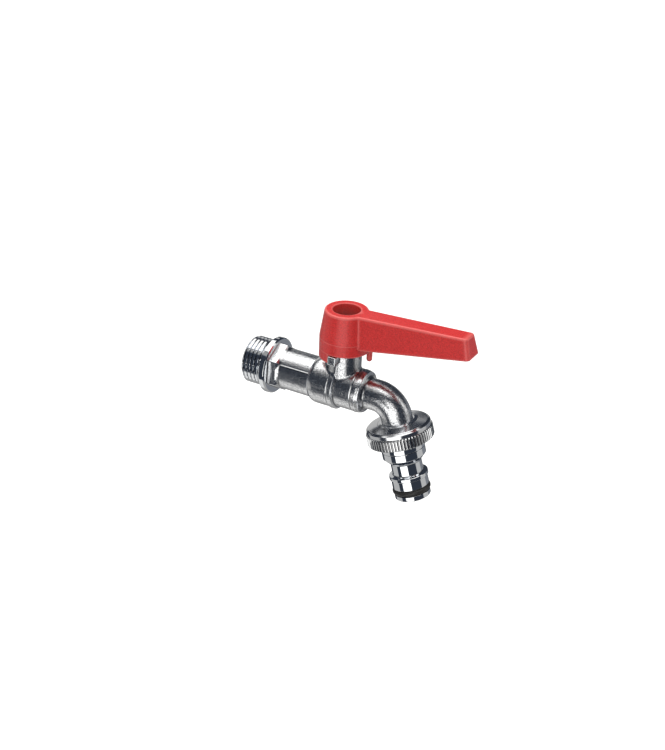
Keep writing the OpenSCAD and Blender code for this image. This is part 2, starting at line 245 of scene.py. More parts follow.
def paintedLightAndWearGroup():
    # lays a pale colour over the edge marks, a painted highlight that on the lever is partly rubbed paint,
    # and then a dull one over the hollow marks, a painted shade
    group, nodes, links, inside, outside = newGroup(
        "paintedLightAndWear", {"Color": colorSocket, "Edge Color": colorSocket, "Worn And Sheen": floatSocket,
                 "Painted Shade Color": colorSocket, "Painted Shade": floatSocket}, {"Color": colorSocket})
    last = inside.outputs["Color"]
    for mark, color, amount in (("edge", "Edge Color", "Worn And Sheen"), ("hollow", "Painted Shade Color", "Painted Shade")):
        marked = nodes.new("ShaderNodeAttribute")
        marked.attribute_name = mark
        share = nodes.new("ShaderNodeMath")
        share.operation = "MULTIPLY"
        laid = nodes.new("ShaderNodeMix")
        laid.data_type = "RGBA"
        links.new(marked.outputs["Fac"], share.inputs[0])
        links.new(inside.outputs[amount], share.inputs[1])
        links.new(share.outputs["Value"], laid.inputs["Factor"])
        links.new(last, laid.inputs["A"])
        links.new(inside.outputs[color], laid.inputs["B"])
        last = laid.outputs["Result"]
    links.new(last, outside.inputs["Color"])
    return group


fineGrain, paintedLightAndWear = fineGrainGroup(), paintedLightAndWearGroup()


def grainyMaterial(name, look):
    # one finish: grain in its bump, grain and mottle in its colour, mottle in its roughness, a painted
    # highlight on its edges that on the paint is partly rubbed paint, and painted shade in its hollows
    mat, nodes, links, skin = newMaterial(name)
    coords = nodes.new("ShaderNodeTexCoord")
    grain = nodes.new("ShaderNodeGroup")
    grain.node_tree = fineGrain
    grain.inputs["Grain"].default_value = look["grain"]
    grain.inputs["Mottle"].default_value = look["mottle"]
    links.new(coords.outputs["Object"], grain.inputs["Vector"])
    bump = nodes.new("ShaderNodeBump")
    bump.inputs["Strength"].default_value = look["bump"]
    bump.inputs["Distance"].default_value = look["depth"] * mm
    links.new(grain.outputs["Height"], bump.inputs["Height"])
    links.new(bump.outputs["Normal"], skin.inputs["Normal"])
    tint = nodes.new("ShaderNodeMix")
    tint.data_type = "RGBA"
    tint.inputs["A"].default_value = (*look["dark"], 1)
    tint.inputs["B"].default_value = (*look["light"], 1)
    speck = nodes.new("ShaderNodeMix")
    speck.inputs["Factor"].default_value = look.get("speck", 0.2)
    links.new(grain.outputs["Tone"], speck.inputs["A"])
    links.new(grain.outputs["Height"], speck.inputs["B"])
    sharper = nodes.new("ShaderNodeMapRange")
    sharper.inputs["From Min"].default_value, sharper.inputs["From Max"].default_value = 0.32, 0.68
    links.new(speck.outputs["Result"], sharper.inputs["Value"])
    links.new(sharper.outputs["Result"], tint.inputs["Factor"])
    wornAndSheen = nodes.new("ShaderNodeGroup")
    wornAndSheen.node_tree = paintedLightAndWear
    # edge colour and share: the painted highlight on edges, partly rubbed paint on the lever; the hollow
    # colour, a third of the dark colour unless given, and its share: the painted shade
    wornAndSheen.inputs["Edge Color"].default_value = (*look["edge"], 1)
    wornAndSheen.inputs["Worn And Sheen"].default_value = look["wornAndSheen"]
    wornAndSheen.inputs["Painted Shade Color"].default_value = (*look.get("paintedShadeTint", [0.3 * v for v in look["dark"]]), 1)
    wornAndSheen.inputs["Painted Shade"].default_value = look.get("paintedShade", 0.6)
    links.new(tint.outputs["Result"], wornAndSheen.inputs["Color"])
    links.new(wornAndSheen.outputs["Color"], skin.inputs["Base Color"])
    rough = nodes.new("ShaderNodeMapRange")
    rough.inputs["To Min"].default_value, rough.inputs["To Max"].default_value = look["rough"]
    links.new(grain.outputs["Tone"], rough.inputs["Value"])
    links.new(rough.outputs["Result"], skin.inputs["Roughness"])
    skin.inputs["Metallic"].default_value = look.get("metal", 1.0)
    skin.inputs["Coat Weight"].default_value = look.get("coat", 0.0)
    skin.inputs["Coat Roughness"].default_value = look.get("coatRough", 0.1)
    return mat


# grain and mottle are noise scales per metre, depth is in mm, rough is lowest and highest
# edge and its share make the painted highlight on edges, partly rubbed paint on the lever; the hollow tint
# and share make the painted shade in creases, grooves and the lever's recess
looks = {
    "castChrome": {"grain": 1500, "mottle": 160, "bump": 0.7, "depth": 0.11, "speck": 0.95,
                   "edge": (0.88, 0.89, 0.91), "wornAndSheen": 0.8,
                   "dark": (0.42, 0.43, 0.45), "light": (0.92, 0.92, 0.93), "rough": (0.19, 0.27)},
    "brightChrome": {"grain": 300, "mottle": 90, "bump": 0.02, "depth": 0.05,
                     "edge": (0.90, 0.91, 0.93), "wornAndSheen": 0.6,
                     "dark": (0.76, 0.78, 0.81), "light": (0.83, 0.85, 0.88), "rough": (0.03, 0.06)},
    "knurledChrome": {"grain": 900, "mottle": 200, "bump": 0.1, "depth": 0.04,
                      "edge": (0.86, 0.87, 0.88), "wornAndSheen": 0.8,
                      "dark": (0.46, 0.46, 0.47), "light": (0.58, 0.58, 0.59), "rough": (0.12, 0.20)},
    "turnedChrome": {"grain": 900, "mottle": 140, "bump": 0.10, "depth": 0.04,
                     "edge": (0.90, 0.91, 0.93), "wornAndSheen": 0.7,
                     "dark": (0.66, 0.67, 0.70), "light": (0.76, 0.77, 0.79), "rough": (0.12, 0.20)},
    "redPaint": {"grain": 1900, "mottle": 200, "bump": 0.8, "depth": 0.18, "metal": 0.0, "speck": 0.92,
                 "paintedShade": 0.9, "paintedShadeTint": (0.36, 0.10, 0.085), "edge": (0.92, 0.24, 0.22), "wornAndSheen": 0.42,
                 "coat": 0.7, "coatRough": 0.32,
                 "dark": (0.54, 0.008, 0.008), "light": (0.84, 0.026, 0.024), "rough": (0.34, 0.46)},
    "blackRubber": {"grain": 900, "mottle": 300, "bump": 0.15, "depth": 0.05, "metal": 0.0,
                    "edge": (0.05, 0.05, 0.05), "wornAndSheen": 0.3,
                    "dark": (0.010, 0.010, 0.010), "light": (0.022, 0.021, 0.020), "rough": (0.35, 0.5)},
    "whitePtfe": {"grain": 700, "mottle": 200, "bump": 0.10, "depth": 0.03, "metal": 0.0,
                  "edge": (0.92, 0.91, 0.89), "wornAndSheen": 0.3,
                  "dark": (0.80, 0.79, 0.76), "light": (0.88, 0.87, 0.84), "rough": (0.4, 0.5)},
    "ballChrome": {"grain": 200, "mottle": 80, "bump": 0.02, "depth": 0.03,
                   "edge": (0.90, 0.91, 0.93), "wornAndSheen": 0.3,
                   "dark": (0.78, 0.79, 0.81), "light": (0.85, 0.86, 0.88), "rough": (0.03, 0.05)},
    "turnedBrass": {"grain": 900, "mottle": 160, "bump": 0.15, "depth": 0.04,
                    "edge": (0.88, 0.70, 0.38), "wornAndSheen": 0.4,
                    "dark": (0.66, 0.45, 0.17), "light": (0.78, 0.58, 0.26), "rough": (0.18, 0.3)},
    "zincSteel": {"grain": 1100, "mottle": 260, "bump": 0.12, "depth": 0.04,
                  "edge": (0.72, 0.73, 0.75), "wornAndSheen": 0.5,
                  "dark": (0.46, 0.47, 0.49), "light": (0.60, 0.61, 0.62), "rough": (0.25, 0.38)},
}
finish = {name: grainyMaterial(name, look) for name, look in looks.items()}
print("materials ready:", ", ".join(finish))


# inlet tail

tail = {
    "threadR": 10.478, "pitch": 1.814, "threadDepth": 1.162, "threadStart": 0.3, "threadEnd": 8.9,
    "floorShare": 0.08, "flankShare": 0.34, "fadeOut": 0.8, "leadDrop": 0.25, "leadSlope": 1.15,
    "flangeX": 10.7, "flangeR": 12.5, "flangeEnd": 13.7, "flare": 0.8, "faceStep": 0.2, "faceR": 11.2,
    "hexFlats": 18.6, "hexCorner": 86.0, "hexRound": 10.66, "hexSlope": 17.5, "hexEnd": 19.0, "hexDrop": 1.6,
    "barrelR": 9.0, "seamX": 33.05, "boreR": 7.4, "boreEnd": 24, "coneEnd": 27, "seatR": 4.5,
    "spigotR": 8.5, "spigotEnd": 38.1, "chamfer": 0.5, "sealX": 33.5, "sealEnd": 35.1, "sealR": 7.35,
    "flashTurn": 147.0, "flashHigh": 0.24, "flashWide": 0.022,
    "cols": 360,
}


def inletTail():
    t = tail
    turn = angles(t["cols"], t["hexCorner"])
    root = t["threadR"] - t["threadDepth"]
    # thread: radius rises and falls with the phase of (x minus pitch times turns)
    x = np.arange(t["threadStart"], t["threadEnd"] + 0.7, t["pitch"] / 20)[:, None]
    phase = np.mod(x / t["pitch"] - turn[None] / (2 * math.pi), 1.0)
    ridge = np.clip((np.abs(2 * phase - 1) - t["floorShare"]) / t["flankShare"], 0, 1)
    ridge = ridge * 0.5 + 0.5 * ridge * ridge * (3 - 2 * ridge)
    fade = np.clip((t["threadEnd"] + 0.5 - x) / t["fadeOut"], 0, 1)
    threadR = np.minimum(root + t["threadDepth"] * ridge * fade, root - t["leadDrop"] + x * t["leadSlope"])
    thread = roundX(x, threadR, turn[None])
    # hexagon: radius is half the flats over the cosine of the angle from the flat's middle, no more
    # than its rounded corners; its end falls to the barrel as a power of the way along
    fromFlat = np.mod(turn - math.radians(t["hexCorner"]), math.pi / 3) - math.pi / 6
    hexR = np.minimum(t["hexFlats"] / 2 / np.cos(fromFlat), t["hexRound"])
    along = np.concatenate([[0, 0.06, 0.2, 0.45], np.linspace(0.8, t["hexSlope"] - t["flangeEnd"], 6)])
    foot = np.concatenate([[0.40, 0.22, 0.07, 0], np.zeros(6)])
    hexRows = roundX(t["flangeEnd"] + along[:, None], hexR[None] + foot[:, None], turn[None])
    s = np.linspace(0.0, 1.0, 10)[1:, None]
    drop = (1 - s) ** t["hexDrop"]
    slopeRows = roundX(t["hexSlope"] + (t["hexEnd"] - t["hexSlope"]) * s,
                       t["barrelR"] + (hexR[None] - t["barrelR"]) * drop, turn[None])
    barrelX = np.linspace(t["hexEnd"] + 0.2, t["seamX"] - 0.12, 12)[:, None]
    # casting line: a narrow bell curve of the angle from it
    off = np.angle(np.exp(1j * (turn - math.radians(t["flashTurn"]))))
    flash = t["flashHigh"] * np.exp(-(off / t["flashWide"]) ** 2)
    barrel = roundX(barrelX, t["barrelR"] + flash[None], turn[None])

    def rings(corners, steps=5):
        line = softCorners(corners, False, steps)
        return roundX(line[:, :1], line[:, 1:2], turn[None])

    boreR = t["boreR"]
    threadedEnd = np.concatenate([
        rings([(0.4, boreR, 0), (0, boreR + 0.4, 0.05), (0, root - 0.45, 0)]),
        thread,
        rings([(t["threadEnd"] + 0.8, root - 0.03), (t["flangeX"] - t["flare"], root - 0.03, 0.3),
               (t["flangeX"], t["threadR"] + t["faceStep"], 0.1), (t["flangeX"], t["flangeR"] - 0.35, 0.2),
               (t["flangeX"] + 0.4, t["flangeR"], 0.25), (t["flangeEnd"] - 0.5, t["flangeR"], 0.3),
               (t["flangeEnd"], t["flangeR"] - 0.55, 0.25), (t["flangeEnd"], t["faceR"]),
               (t["flangeEnd"], boreR)])])
    hexAndBarrel = np.concatenate([
        rings([(t["flangeEnd"], boreR), (t["flangeEnd"], t["barrelR"])]),
        hexRows, slopeRows, barrel,
        rings([(t["seamX"], t["barrelR"] - 0.12, 0), (t["seamX"], t["spigotR"]), (t["sealX"], t["spigotR"]),
               (t["sealX"], t["sealR"]), (t["sealEnd"], t["sealR"]), (t["sealEnd"], t["spigotR"]),
               (t["spigotEnd"] - t["chamfer"], t["spigotR"]), (t["spigotEnd"], t["spigotR"] - t["chamfer"]),
               (t["spigotEnd"], t["seatR"]), (t["coneEnd"], t["seatR"]), (t["boreEnd"], boreR)])])
    makePiece("tail_thread_turned", [tube(threadedEnd, wrapRows=True)], "valve_body",
              finish["brightChrome"], ["inlet_tail"], sharp=26)
    makePiece("tail_barrel_cast", [tube(hexAndBarrel, wrapRows=True)], "valve_body",
              finish["castChrome"], ["inlet_tail"], sharp=26)


inletTail()
print("inlet tail built")


# valve body: barrel, beads and spout as one outline carried along the bent centre line

cast = {
    "seamX": 33.12, "socketR": 10.5, "shoulderR": 5.3, "shoulderX": 36.6, "socketEndR": 10.46,
    "grooveR": 10.22, "beadX": 43.6, "beadEnd": 46.0, "beadR": 10.72, "beadFootR": 10.0, "midR": 9.35,
    "bulgeX": 54.2, "bulgeR": 9.5, "bulgeFootR": 9.12, "bulgeTopR": 9.35, "bulgeEnd": 57.6,
    "bulgeEndR": 8.95, "neckR": 7.6, "spoutX": 59.0, "spoutR": 6.74, "spoutEnd": 9.6,
    "boreR": 4.5, "chamberR": 8.1, "chamberX": 38.2, "chamberEnd": 54.0, "socketBoreR": 8.6,
    "towerR": 7.42, "towerTop": 21.5, "towerFoot": 1.0, "stemBoreR": 4.05, "stemBoreLow": 8.4,
    "cols": 160, "towerCols": 144,
}
bendStart = tap["cornerX"] - tap["bendR"] * math.tan((math.pi / 2 - tilt) / 2)
bendLength = tap["bendR"] * (math.pi / 2 - tilt)
outletShift = bendStart + bendLength - (tap["cornerX"] - bendStart)  # path length minus u past the bend


def alongSpout(s, radius, turn):
    # a ring of that radius square to the centre line, s millimetres along it from the inlet end
    s, radius, turn = np.broadcast_arrays(s, radius, turn)
    bend = np.clip((s - bendStart) / tap["bendR"], 0, math.pi / 2 - tilt)
    after = np.maximum(s - bendStart - bendLength, 0)
    x = np.minimum(s, bendStart) + tap["bendR"] * np.sin(bend) + after * outletDir[0]
    z = tap["bendR"] * (np.cos(bend) - 1) + after * outletDir[2]
    up = radius * np.sin(turn)
    return np.stack([x + up * np.sin(bend), radius * np.cos(turn), z + up * np.cos(bend)], -1)


def castOutline():
    # radius against the distance along the centre line; the shoulder is the end of a quarter circle
    c = cast
    lean = np.linspace(math.asin((c["shoulderX"] - c["seamX"]) / c["shoulderR"]), 0, 8)
    shoulder = [(c["shoulderX"] - c["shoulderR"] * math.sin(a),
                 c["socketR"] - c["shoulderR"] * (1 - math.cos(a)), 0) for a in lean]
    bead = [(c["beadX"] - 0.55, c["socketEndR"], 0.3), (c["beadX"] - 0.2, c["grooveR"], 0.15),
            (c["beadX"] + 0.12, c["beadR"], 0.28), (c["beadEnd"] - 0.35, c["beadR"], 0.35),
            (c["beadEnd"], c["beadFootR"], 0.2), (c["beadEnd"] + 0.15, c["midR"], 0.25)]
    bulge = [(c["bulgeX"] - 0.5, c["midR"], 0.3), (c["bulgeX"], c["bulgeFootR"], 0.2),
             (c["bulgeX"] + 0.35, c["bulgeR"], 0.35), (c["bulgeX"] + 2, c["bulgeTopR"], 0.7)]
    neck = [(c["bulgeEnd"], c["bulgeEndR"], 0.5), (c["bulgeEnd"] + 0.6, c["neckR"], 0.5),
            (c["spoutX"], c["spoutR"], 1.1), (c["spoutX"] + 2, c["spoutR"], 0)]
    return softCorners([(c["seamX"], c["socketBoreR"], 0)] + shoulder + bead + bulge + neck, False, 6)


outerLine = castOutline()

# x is from the stem axis
lug = {"half": 1.95, "high": 1.9, "soft": 0.45, "x": -0.05, "z": 15.8, "from": 6.0, "reach": 11.5}


def stopLug():
    # a rounded rectangle carried outwards, drawn in along a quarter circle at its end
    g = lug
    corner = angles(32, 5.625)
    bx = np.sign(np.cos(corner)) * (g["half"] - g["soft"]) + g["soft"] * np.cos(corner)
    bz = np.sign(np.sin(corner)) * (g["high"] - g["soft"]) + g["soft"] * np.sin(corner)
    ends = np.linspace(0, math.pi / 2, 6)
    y = np.concatenate([[-g["from"]], -g["reach"] + g["soft"] * (1 - np.sin(ends))])[:, None]
    draw = np.concatenate([[0], g["soft"] * (1 - np.cos(ends))])[:, None]
    x = tap["stemX"] + g["x"] + bx * (1 - draw / g["half"])
    z = g["z"] + bz * (1 - draw / g["high"])
    return tube(np.stack(np.broadcast_arrays(x, y, z), -1))


def valveBody():
    # the outline carried along the centre line, and the tower and the lug as closed shells of their own
    c = cast
    turn = angles(c["cols"])[None]
    end = outletShift + c["spoutEnd"]
    bendRows = np.linspace(c["spoutX"] + 2.5, end - 0.05, 60)
    outer = np.vstack([outerLine, np.column_stack([bendRows, np.full(60, c["spoutR"])])])
    boreRows = np.concatenate([[end], np.linspace(end - 1, c["chamberEnd"] + 0.1, 50), [c["chamberEnd"]]])
    bore = np.vstack([np.column_stack([boreRows, np.full(52, c["boreR"])]),
                      [[c["chamberEnd"], c["chamberR"]], [c["chamberX"], c["chamberR"]],
                       [c["chamberX"], c["socketBoreR"]]]])
    line = np.vstack([outer, [[end, c["spoutR"] - 0.05]], bore])
    shell = tube(alongSpout(line[:, :1], line[:, 1:2], turn), wrapRows=True)

    # tower: its foot follows the barrel, z being the root of (barrel radius squared minus y squared)
    turn = angles(c["towerCols"])[None]

    def barrelTop(x, y):
        radius = np.interp(x, outerLine[:, 0], outerLine[:, 1])
        return np.sqrt(np.maximum(radius ** 2 - y ** 2, 1))

    q = np.linspace(0, math.pi / 2, 8)[:, None]
    footR = c["towerR"] + c["towerFoot"] * (1 - np.sin(q))
    x, y = tap["stemX"] + footR * np.cos(turn), footR * np.sin(turn)
    foot = np.stack([x, y, barrelTop(x, y) - 0.06 + c["towerFoot"] * (1 - np.cos(q))], -1)
    top = softCorners([(c["towerTop"] - 1.5, c["towerR"], 0), (c["towerTop"], c["towerR"], 0.3),
                       (c["towerTop"], c["stemBoreR"], 0), (c["stemBoreLow"], c["stemBoreR"], 0)],
                      False, 5)
    towerRows = np.concatenate([foot, roundZ(top[:, :1], top[:, 1:2], turn, tap["stemX"])])
    return makePiece("valve_body_cast", [shell, tube(towerRows, wrapRows=True), stopLug()], "valve_body",
                     finish["castChrome"], ["valve_body"], sharp=32)


valveBody()

# u is the distance along the outlet from the spout's corner
flange = {
    "foot": 9.0, "footR": 7.3, "neckR": 6.72, "coneStart": 9.45, "coneStartR": 8.6,
    "coneEnd": 10.2, "coneEndR": 12.95, "rimStart": 11.05, "rimEnd": 12.6, "rimR": 13.85, "reliefR": 12.0,
    "threadStart": 13.6, "threadR": 12.9, "end": 15.3, "boreR": 4.5,
    "cols": 192,
}


def outletFlange():
    # its outline turned about the outlet axis
    g = flange
    corners = [(g["foot"] + 0.05, g["neckR"], 0), (g["foot"], g["footR"], 0.25),
               (g["coneStart"], g["coneStartR"], 0.6), (g["coneEnd"], g["coneEndR"], 0.15),
               (g["coneEnd"] + 0.25, g["coneEndR"] + 0.2, 0.1), (g["rimStart"], g["rimR"], 0.12),
               (g["rimEnd"], g["rimR"], 0.12), (g["rimEnd"], g["reliefR"], 0),
               (g["rimEnd"] + 0.4, g["reliefR"], 0), (g["threadStart"], g["threadR"], 0),
               (g["end"] - 0.4, g["threadR"], 0), (g["end"], g["threadR"] - 0.4, 0),
               (g["end"], g["boreR"], 0), (g["foot"] + 0.6, g["boreR"], 0), (g["foot"] + 0.6, g["neckR"], 0)]
    return makePiece("outlet_flange_turned", [turned(corners, roundOutlet, g["cols"])], "valve_body",
                     finish["turnedChrome"], sharp=24)


outletFlange()
print("valve body built")


# union nut

nut = {
    "r": 14.4, "teeth": 64, "toothDeep": 0.6, "pointsPerTooth": 12, "edgeR": 13.75, "edgeTopR": 13.95,
    "top": 12.68, "mid": 15.0, "knurlEnd": 17.75, "knurlEndR": 13.9, "coneStartR": 13.7, "end": 19.4,
    "endR": 9.95, "holeR": 9.7, "lipU": 17.8, "lipR": 12.45, "boreEnd": 15.9, "boreR": 13.02,
}


def unionNut():
    n = nut
    turn = angles(n["teeth"] * n["pointsPerTooth"])[None]
    # tooth: a flat crest and a round groove, from the cosine of the tooth angle
    groove = np.clip(0.5 - 0.9 * np.cos(n["teeth"] * turn), 0, 1)
    u = np.array([n["top"], n["top"] + 0.02, n["top"] + 0.25, n["top"] + 0.5, n["mid"],
                  n["knurlEnd"] - 0.5, n["knurlEnd"] - 0.2, n["knurlEnd"]])[:, None]
    crest = np.array([n["edgeR"], n["edgeTopR"], n["r"] - 0.2, n["r"], n["r"], n["r"], n["r"] - 0.18,
                      n["knurlEndR"]])[:, None]
    deep = n["r"] - n["toothDeep"]
    floor = np.array([n["edgeR"], n["knurlEndR"], deep, deep, deep, deep, deep, n["knurlEndR"]])[:, None]
    floor = np.minimum(floor, crest)
    knurl = roundOutlet(u, crest - (crest - floor) * groove, turn)
    rest = softCorners([(n["knurlEnd"] + 0.1, n["coneStartR"], 0), (n["end"] - 0.15, n["endR"] + 0.55, 0.2),
                        (n["end"], n["endR"], 0.1), (n["end"], n["holeR"], 0), (n["lipU"], n["holeR"], 0),
                        (n["lipU"], n["lipR"], 0), (n["boreEnd"], n["lipR"], 0),
                        (n["boreEnd"], n["boreR"], 0), (n["top"], n["boreR"], 0)], False, 5)
    rows = np.concatenate([knurl, roundOutlet(rest[:, :1], rest[:, 1:2], turn)])
    return makePiece("union_nut_knurled", [tube(rows, wrapRows=True)], "union_nut",
                     finish["knurledChrome"], ["union_nut"], sharp=28)


unionNut()


# hose nipple and its ring

nipple = {
    "top": 16.53, "headR": 12.3, "headEnd": 17.6, "collarR": 9.6, "collarEnd": 21.45, "lineR": 9.15,
    "bandStart": 21.85, "bandR": 9.41, "bandEnd": 24.85, "neckStart": 27.65, "neckR": 6.75, "neckEnd": 32.65,
    "ridgeStart": 33.4, "ridgeR": 8.46, "ridgeEnd": 34.8, "spigotStart": 35.05, "spigotR": 7.95,
    "grooveStart": 39.2, "grooveTopR": 7.6, "grooveEnd": 41.9, "grooveR": 5.95, "lipR": 7.8, "end": 44.2,
    "boreR": 4.9, "cols": 192,
}


def hoseNipple():
    # its outline turned about the outlet axis, from the head inside the nut to the lip at its end
    n = nipple
    corners = [
        (n["top"], n["boreR"], 0), (n["top"], n["headR"], 0), (n["headEnd"], n["headR"], 0),
        (n["headEnd"], n["collarR"], 0), (n["collarEnd"], n["collarR"], 0.12),
        (n["collarEnd"] + 0.1, n["lineR"], 0.05), (n["bandStart"] - 0.1, n["lineR"], 0.05),
        (n["bandStart"], n["bandR"], 0.1), (n["bandEnd"], n["bandR"], 0.22),
        (n["neckStart"], n["neckR"], 0.35), (n["neckEnd"], n["neckR"], 0.3),
        (n["ridgeStart"] - 0.2, n["ridgeR"] - 0.16, 0.15), (n["ridgeStart"], n["ridgeR"], 0.12),
        (n["ridgeEnd"], n["ridgeR"], 0.15), (n["spigotStart"], n["spigotR"] - 0.07, 0.1),
        (n["grooveStart"] - 0.3, n["spigotR"], 0.2), (n["grooveStart"], n["grooveTopR"], 0.1),
        (n["grooveStart"], n["grooveR"], 0), (n["grooveEnd"], n["grooveR"], 0),
        (n["grooveEnd"], n["lipR"] - 0.1, 0.1), (n["grooveEnd"] + 0.15, n["lipR"], 0.08),
        (n["end"] - 0.35, n["lipR"] - 0.02, 0.25), (n["end"], n["lipR"] - 0.4, 0.15),
        (n["end"], n["boreR"] + 0.4, 0.15), (n["end"] - 0.4, n["boreR"], 0.1)]
    return makePiece("hose_nipple_turned", [turned(corners, roundOutlet, n["cols"])], "nipple",
                     finish["brightChrome"], ["hose_nipple"], sharp=26)


ring = {"u": 40.55, "r": 7.12, "wireR": 1.2, "cols": 160, "wireCols": 28}


def nippleRing():
    # a torus: wire radius times cosine along the axis, ring radius plus wire radius times sine across it
    section = angles(ring["wireCols"])[:, None]
    rows = roundOutlet(ring["u"] + ring["wireR"] * np.cos(section),
                       ring["r"] + ring["wireR"] * np.sin(section), angles(ring["cols"])[None])
    return makePiece("nipple_oring_round", [tube(rows, wrapRows=True)], "nipple",
                     finish["blackRubber"], ["nipple_oring"])


hoseNipple()
nippleRing()
print("outlet built")


# lever

# x and y are from the stem axis; each pair is the value at the lower edge and at the top
lever = {
    "bossTop": 35.62, "bossTopR": 9.22, "coneZ": 23.85, "skirtR": 11.0, "skirtZ": 18.0, "skirtTop": 23.4,
    "recessR": 5.9, "recessFloor": 26.5, "recessLip": 0.35,
    "rootX": (8.5, 7.0), "tipX": (58.3, 56.0), "rootHalf": (6.3, 4.7), "tipHalf": (5.2, 4.0),
    "bottomRoot": 21.2, "bottomTip": 29.75, "topTip": 38.4, "lowEdgeR": 0.3, "topBend": (6.5, 3.0),
    "edgeR": 0.7, "tipR": 1.6, "creaseR": 0.7, "wall": 2.2, "roof": 2.5, "hollowX": 13.5, "webZ": 22.6,
    "armHigh": 12.0, "creaseX": 9.5, "creaseLight": 0.5, "paintedShadeRise": 0.6,
    "skirtBoreR": 8.0, "webTop": 23.5, "webR": 10.5, "squareR": 4.1, "webLow": 22.2, "skirtCols": 144,
}


def mix(a, b, f):
    # a at 0, b at 1
    return a + (b - a) * f


def leverBottom(x):
    # level under the boss, then the arm's straight underside
    v = lever
    slope = (v["bottomTip"] - v["bottomRoot"]) / (v["tipX"][0] - v["rootX"][0])
    arm = v["bottomRoot"] + (x - v["rootX"][0]) * slope
    return mix(v["webZ"], arm, np.clip(x - v["rootX"][0], 0, 1))


def leverTop(x):
    # level over the boss, a short parabola, then the arm's straight slope
    v = lever
    start, long = v["topBend"]
    slope = (v["topTip"] - v["bossTop"]) / (v["tipX"][1] - start - long / 2)
    t = np.maximum(x - start, 0)
    return v["bossTop"] + slope * np.where(t < long, t * t / (2 * long), t - long / 2)


def bossR(z):
    # a cylinder up to coneZ, then a cone
    v = lever
    return mix(v["skirtR"], v["bossTopR"], np.clip((z - v["coneZ"]) / (v["bossTop"] - v["coneZ"]), 0, 1))


def armHalf(x, f):
    # half the arm's width: straight from root to tip, and from the lower edge to the top
    v = lever
    x0, x1 = mix(*v["rootX"], f), mix(*v["tipX"], f)
    return mix(mix(*v["rootHalf"], f), mix(*v["tipHalf"], f), (x - x0) / (x1 - x0))


# points along each part of the half outline
tipN, cornerN, sideN, creaseN, bossN = 5, 8, 56, 8, 72


def leverOutline(f):
    # half of the outline in plan, from the tip's middle round to the back of the boss, at height fraction f
    v = lever
    tipF, cornerF, sideF, creaseF, bossF = np.split(
        f, np.cumsum([tipN, cornerN, sideN, creaseN]), axis=1)
    x1 = mix(*v["tipX"], tipF)
    flat = armHalf(x1 - v["tipR"], tipF) - v["tipR"]
    tipXY = x1 + 0 * flat, flat * np.linspace(0, 1, tipN, endpoint=False)
    a = np.linspace(0, math.pi / 2, cornerN, endpoint=False)
    cx = mix(*v["tipX"], cornerF) - v["tipR"]
    cornerXY = cx + v["tipR"] * np.cos(a), armHalf(cx, cornerF) - v["tipR"] * (1 - np.sin(a))

    def crease(g):
        # centre of the small fillet that touches both the cone and the arm's side, closer at each pass
        radius = bossR(mix(leverBottom(v["creaseX"]), leverTop(v["creaseX"]), g)) + v["creaseR"]
        cx = np.full_like(g, 9.0)
        for _ in range(4):
            cy = armHalf(cx, g) + v["creaseR"]
            cx = np.sqrt(radius ** 2 - cy ** 2)
        return cx, cy

    jx, _ = crease(sideF)
    sx = mix(mix(*v["tipX"], sideF) - v["tipR"], jx, np.linspace(0, 1, sideN, endpoint=False))
    sideXY = sx, armHalf(sx, sideF)
    jx, jy = crease(creaseF)
    start, stop = -math.pi / 2, -math.pi + np.arctan2(jy, jx)
    a = mix(start, stop, np.linspace(0, 1, creaseN, endpoint=False))
    creaseXY = jx + v["creaseR"] * np.cos(a), jy + v["creaseR"] * np.sin(a)
    jx, jy = crease(bossF)
    a = mix(np.arctan2(jy, jx), math.pi, np.linspace(0, 1, bossN))
    z = mix(leverBottom(v["skirtR"] * np.cos(a)), v["bossTop"], bossF)
    bossXY = bossR(z) * np.cos(a), bossR(z) * np.sin(a)
    x = np.hstack([tipXY[0], cornerXY[0], sideXY[0], creaseXY[0], bossXY[0]])
    y = np.hstack([tipXY[1], cornerXY[1], sideXY[1], creaseXY[1], bossXY[1]])
    return x, y


def insetOutline(x, y, depth):
    # moves each point inwards, square to the outline; the half outline starts and ends on y = 0
    dx, dy = np.gradient(x, axis=1), np.gradient(y, axis=1)
    dx[:, [0, -1]] = 0
    size = np.hypot(dx, dy)
    nx, ny = dy / size, -dx / size
    return x - nx * depth, y - ny * depth


def bothHalves(x, y, z):
    # the half outline and its mirror image make one closed ring
    half = np.stack(np.broadcast_arrays(x, y, z), -1)
    back = half[:, -2:0:-1] * np.array([1, -1, 1])
    return np.concatenate([half, back], axis=1)


